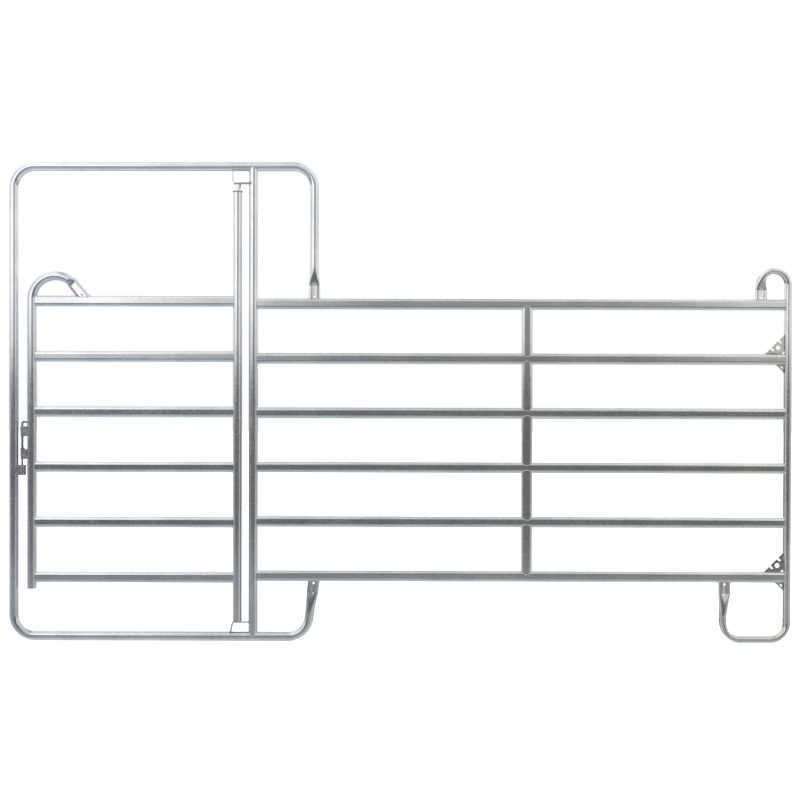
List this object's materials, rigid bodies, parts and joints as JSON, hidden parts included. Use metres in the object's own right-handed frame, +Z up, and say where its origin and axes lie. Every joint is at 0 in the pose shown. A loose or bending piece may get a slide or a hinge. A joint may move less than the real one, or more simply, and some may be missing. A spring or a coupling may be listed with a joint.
{
  "type": "livestock panel with gate",
  "caption": "Galvanised livestock panel of flat-sided rails with a walk-through gate hung in a raised bent-tube frame and closed by a sprung drop bolt.",
  "frame": {"origin": "on the ground, in the middle of the flat sole of the end post's foot", "axes": "+X along the panel from the gate towards the end post, +Z up, and the front, to which the bolt's handle points, faces -Y"},
  "size_m": [3.5899, 0.0714, 2.1999],
  "materials": {
    "zinc_tube": "hot-dip galvanised steel tube, satin with soft zinc spangle",
    "zinc_plate": "hot-dip galvanised steel plate and strap, satin",
    "zinc_rod": "galvanised steel rod and wire, duller grey"
  },
  "bodies": {
    "panel": {"gate_frame": "zinc_tube", "inner_post": "zinc_tube", "panel_rail_1": "zinc_tube", "panel_rail_2": "zinc_tube", "panel_rail_3": "zinc_tube", "panel_rail_4": "zinc_tube", "panel_rail_5": "zinc_tube", "panel_rail_6": "zinc_tube", "mid_post": "zinc_tube", "end_post": "zinc_tube", "upper_chain_plate": "zinc_plate", "lower_chain_plate": "zinc_plate", "upper_gusset": "zinc_plate", "lower_gusset": "zinc_plate", "upper_hinge_bracket": "zinc_plate", "lower_hinge_bracket": "zinc_plate", "upper_hinge_pin": "zinc_rod", "lower_hinge_pin": "zinc_rod", "bolt_keeper": "zinc_plate"},
    "gate": {"hinge_tube": "zinc_tube", "hinge_collar": "zinc_plate", "gate_rail_1": "zinc_tube", "gate_rail_2": "zinc_tube", "gate_rail_3": "zinc_tube", "gate_rail_4": "zinc_tube", "gate_rail_5": "zinc_tube", "gate_rail_6": "zinc_tube", "latch_stile": "zinc_tube", "upper_bolt_guide": "zinc_plate", "lower_bolt_guide": "zinc_plate", "bolt_spring": "zinc_rod"},
    "bolt": {"drop_bolt": "zinc_rod", "stop_pin": "zinc_rod"}
  },
  "joints": [
    {"name": "gate_swing", "type": "hinge", "parent": "panel", "child": "gate", "pos_m": [-2.3784, 0, 1], "axis": [0, 0, 1], "range_deg": [-135, 135]},
    {"name": "bolt_lift", "type": "slide", "parent": "gate", "child": "bolt", "axis": [0, 0, 1], "range_m": [0, 0.032], "stiffness_N_per_m": 400, "springref_m": -0.02, "deforming": ["bolt_spring"]}
  ]
}
